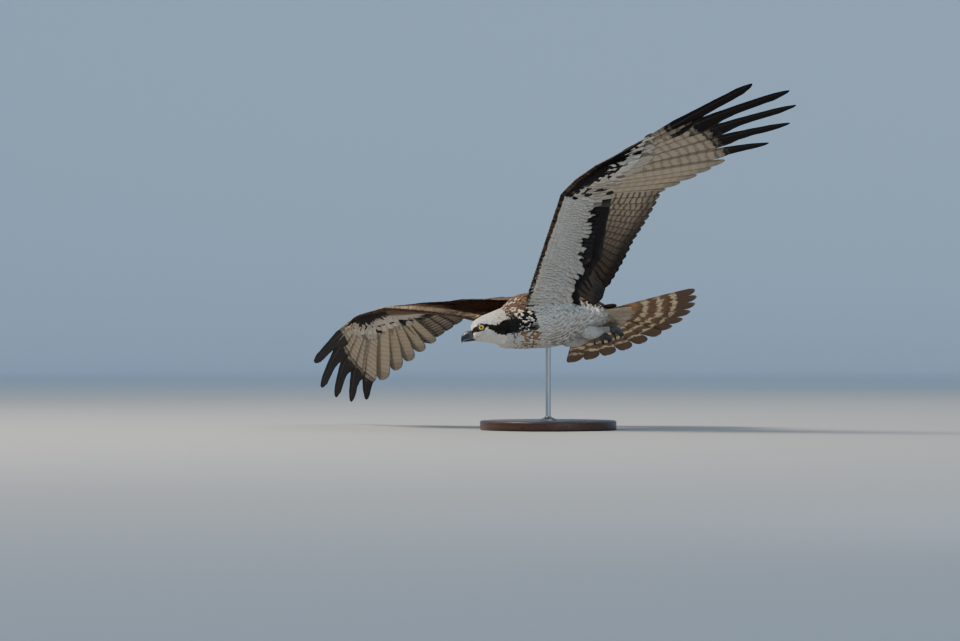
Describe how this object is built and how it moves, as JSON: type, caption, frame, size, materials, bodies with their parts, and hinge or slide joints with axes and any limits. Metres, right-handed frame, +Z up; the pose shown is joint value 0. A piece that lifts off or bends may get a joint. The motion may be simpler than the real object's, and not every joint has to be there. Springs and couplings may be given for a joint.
{
  "type": "osprey in flight on a display stand",
  "caption": "Life-size still model of an osprey gliding with spread wings and fanned tail, held by one rod on a round base.",
  "frame": {"origin": "centre of the underside of the stand's round base", "axes": "+Z up, -Y the way the bird flies, +X the bird's left; the bird is banked about Y with its left wing raised"},
  "size_m": [1.2403, 0.5516, 0.6377],
  "materials": {
    "body_plumage": "soft body feathers, white with dark markings",
    "wing_plumage": "flight feathers, brown above and barred grey below",
    "tail_plumage": "barred buff and brown tail feathers",
    "bill_horn": "smooth black keratin",
    "eye": "wet glossy eye with a yellow iris",
    "foot_skin": "pale blue-grey scaled skin with black claws",
    "stand_wood": "satin dark hardwood",
    "stand_steel": "brushed"
  },
  "bodies": {
    "root": {"torso": "body_plumage", "neck": "body_plumage", "head": "body_plumage", "bill_upper": "bill_horn", "bill_lower": "bill_horn", "eye_left": "eye", "eye_right": "eye", "wing_left_arm": "wing_plumage", "wing_left_hand": "wing_plumage", "wing_right_arm": "wing_plumage", "wing_right_hand": "wing_plumage", "tail": "tail_plumage", "leg_left": "body_plumage", "leg_right": "body_plumage", "foot_left": "foot_skin", "foot_right": "foot_skin", "stand_base": "stand_wood", "stand_rod": "stand_steel"}
  },
  "joints": []
}
